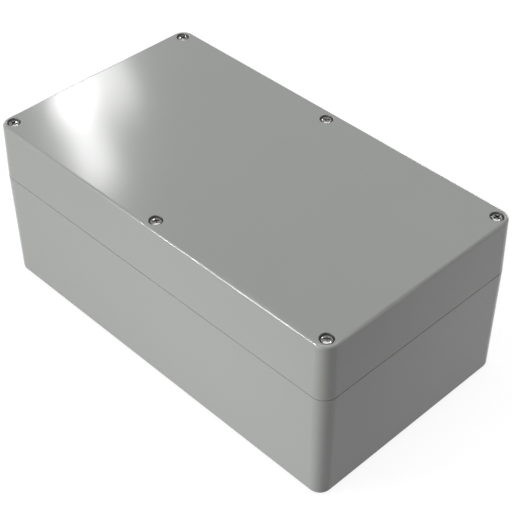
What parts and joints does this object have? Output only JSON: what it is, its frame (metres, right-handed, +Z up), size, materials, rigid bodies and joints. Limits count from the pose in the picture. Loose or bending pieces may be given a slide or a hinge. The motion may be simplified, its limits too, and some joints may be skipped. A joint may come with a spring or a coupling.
{
  "type": "abs enclosure",
  "caption": "Deep rectangular ABS case with a screwed, sealed lid, rounded upright corners and a thin shadow line where lid and base meet.",
  "frame": {"origin": "centre of the underside, the face the case stands on", "axes": "+X along the long sides, +Y across the width, +Z up through the lid"},
  "size_m": [0.36, 0.2004, 0.15],
  "materials": {
    "case_abs": "moulded, satin grey",
    "seal_rubber": "soft, matt",
    "screw_steel": "bright stainless",
    "bush_brass": "turned and knurled"
  },
  "bodies": {
    "base": {"base": "case_abs", "threaded_bush_left_front": "bush_brass", "threaded_bush_middle_front": "bush_brass", "threaded_bush_right_front": "bush_brass", "threaded_bush_left_rear": "bush_brass", "threaded_bush_middle_rear": "bush_brass", "threaded_bush_right_rear": "bush_brass"},
    "lid": {"lid": "case_abs", "seal": "seal_rubber"},
    "screw_left_front": {"lid_screw_left_front": "screw_steel"},
    "screw_middle_front": {"lid_screw_middle_front": "screw_steel"},
    "screw_right_front": {"lid_screw_right_front": "screw_steel"},
    "screw_left_rear": {"lid_screw_left_rear": "screw_steel"},
    "screw_middle_rear": {"lid_screw_middle_rear": "screw_steel"},
    "screw_right_rear": {"lid_screw_right_rear": "screw_steel"}
  },
  "joints": [
    {"name": "lid_lift", "type": "slide", "parent": "base", "child": "lid", "axis": [0, 0, 1], "range_m": [0, 0.12]},
    {"name": "screw_rise_left_front", "type": "slide", "parent": "lid", "child": "screw_left_front", "axis": [0, 0, 1], "range_m": [0, 0.011]},
    {"name": "screw_rise_middle_front", "type": "slide", "parent": "lid", "child": "screw_middle_front", "axis": [0, 0, 1], "range_m": [0, 0.011]},
    {"name": "screw_rise_right_front", "type": "slide", "parent": "lid", "child": "screw_right_front", "axis": [0, 0, 1], "range_m": [0, 0.011]},
    {"name": "screw_rise_left_rear", "type": "slide", "parent": "lid", "child": "screw_left_rear", "axis": [0, 0, 1], "range_m": [0, 0.011]},
    {"name": "screw_rise_middle_rear", "type": "slide", "parent": "lid", "child": "screw_middle_rear", "axis": [0, 0, 1], "range_m": [0, 0.011]},
    {"name": "screw_rise_right_rear", "type": "slide", "parent": "lid", "child": "screw_right_rear", "axis": [0, 0, 1], "range_m": [0, 0.011]}
  ]
}
